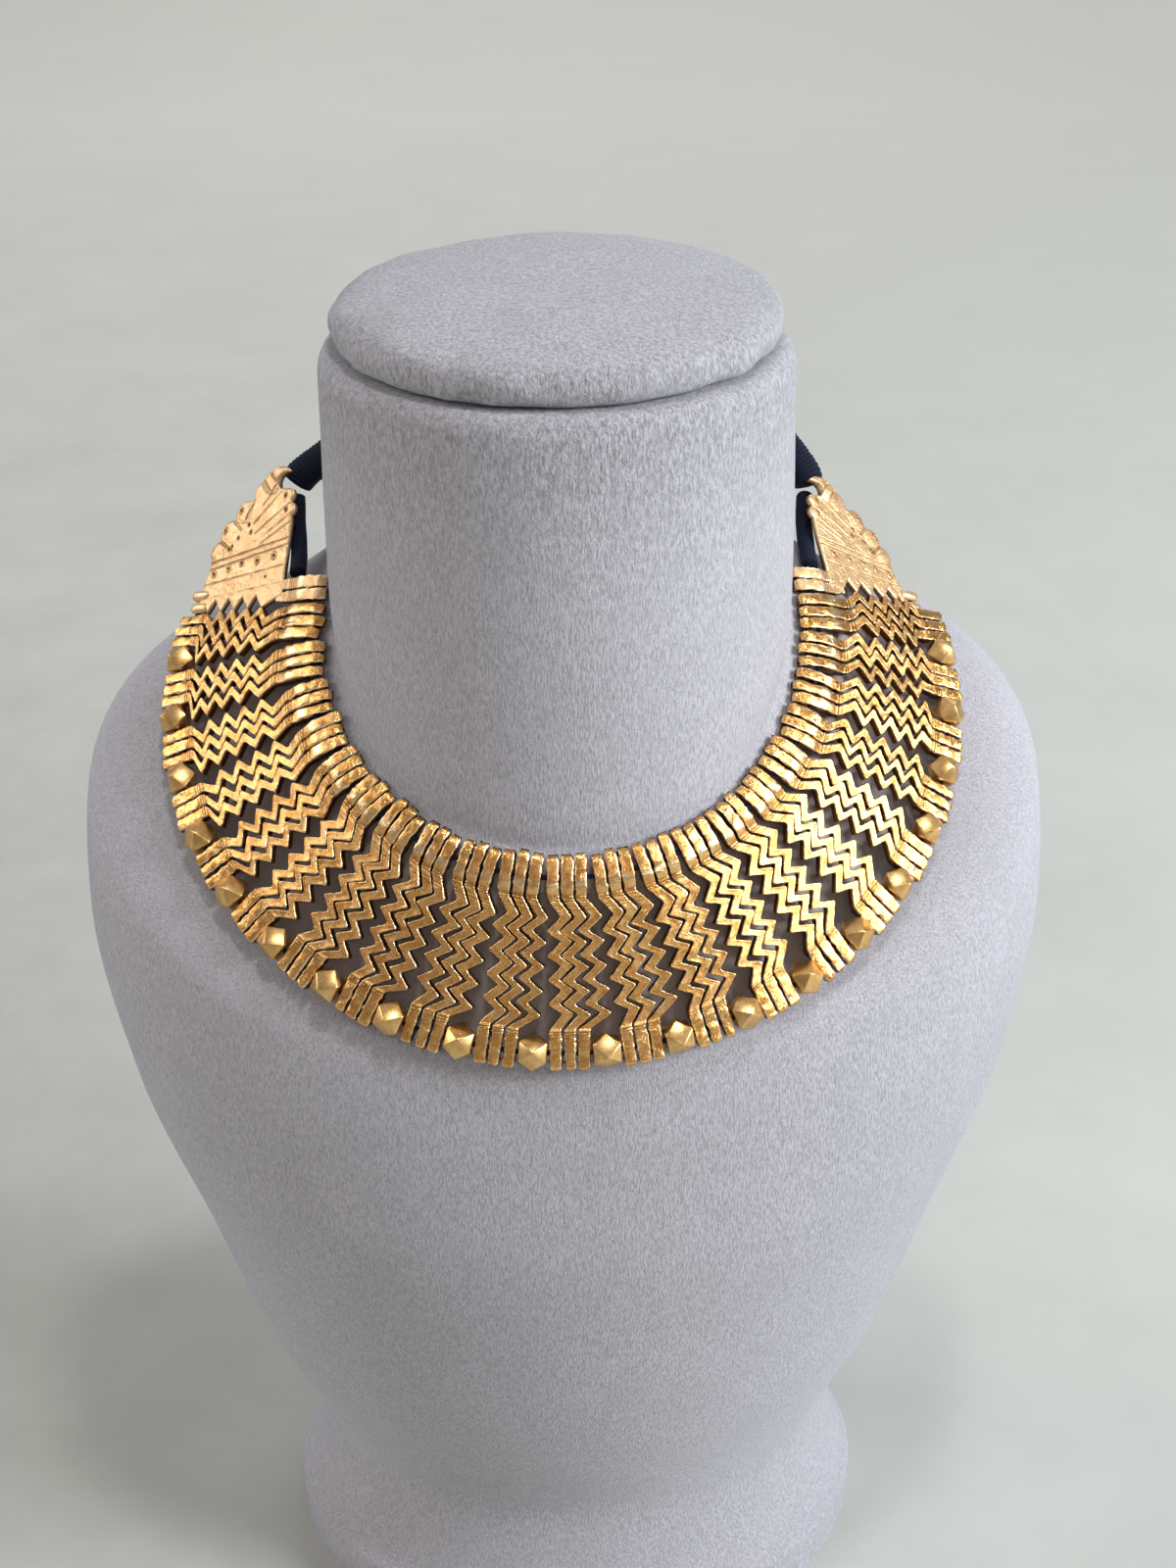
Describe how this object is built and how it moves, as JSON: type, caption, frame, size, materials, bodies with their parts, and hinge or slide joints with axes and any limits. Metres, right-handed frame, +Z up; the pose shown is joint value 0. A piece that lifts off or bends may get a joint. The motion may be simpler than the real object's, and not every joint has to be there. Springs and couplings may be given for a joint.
{
  "type": "choker necklace on neck bust",
  "caption": "Collar necklace of nested cast zigzag strips with faceted beads along its edge, engraved end plates and a wound cord, worn by a flocked neck bust.",
  "frame": {"origin": "middle of the underside of the bust's base, on the axis of its neck", "axes": "+Z up along the neck, -Y toward the front of the collar, +X to the right of somebody who faces it"},
  "size_m": [0.245, 0.1478, 0.367],
  "materials": {
    "gold": "grainy cast gold plate with worn bright edges",
    "bead_gold": "satin brushed gold plate",
    "navy_thread": "matt wound thread",
    "flock": "short grey velvet nap"
  },
  "bodies": {
    "root": {"strips_01": "gold", "strips_02": "gold", "strips_03": "gold", "strips_04": "gold", "strips_05": "gold", "strips_06": "gold", "strips_07": "gold", "strips_08": "gold", "strips_09": "gold", "strips_10": "gold", "strips_11": "gold", "strips_12": "gold", "strips_13": "gold", "strips_14": "gold", "strips_15": "gold", "strips_16": "gold", "strips_17": "gold", "strips_18": "gold", "strips_19": "gold", "strips_20": "gold", "strips_21": "gold", "bead_01": "bead_gold", "bead_02": "bead_gold", "bead_03": "bead_gold", "bead_04": "bead_gold", "bead_05": "bead_gold", "bead_06": "bead_gold", "bead_07": "bead_gold", "bead_08": "bead_gold", "bead_09": "bead_gold", "bead_10": "bead_gold", "bead_11": "bead_gold", "bead_12": "bead_gold", "bead_13": "bead_gold", "bead_14": "bead_gold", "bead_15": "bead_gold", "bead_16": "bead_gold", "bead_17": "bead_gold", "bead_18": "bead_gold", "bead_19": "bead_gold", "bead_20": "bead_gold", "end_plate_right": "gold", "end_plate_left": "gold", "side_cord_right": "navy_thread", "side_cord_left": "navy_thread", "back_cord": "navy_thread", "cord_slide": "navy_thread", "bust_body": "flock", "bust_lid": "flock"}
  },
  "joints": []
}
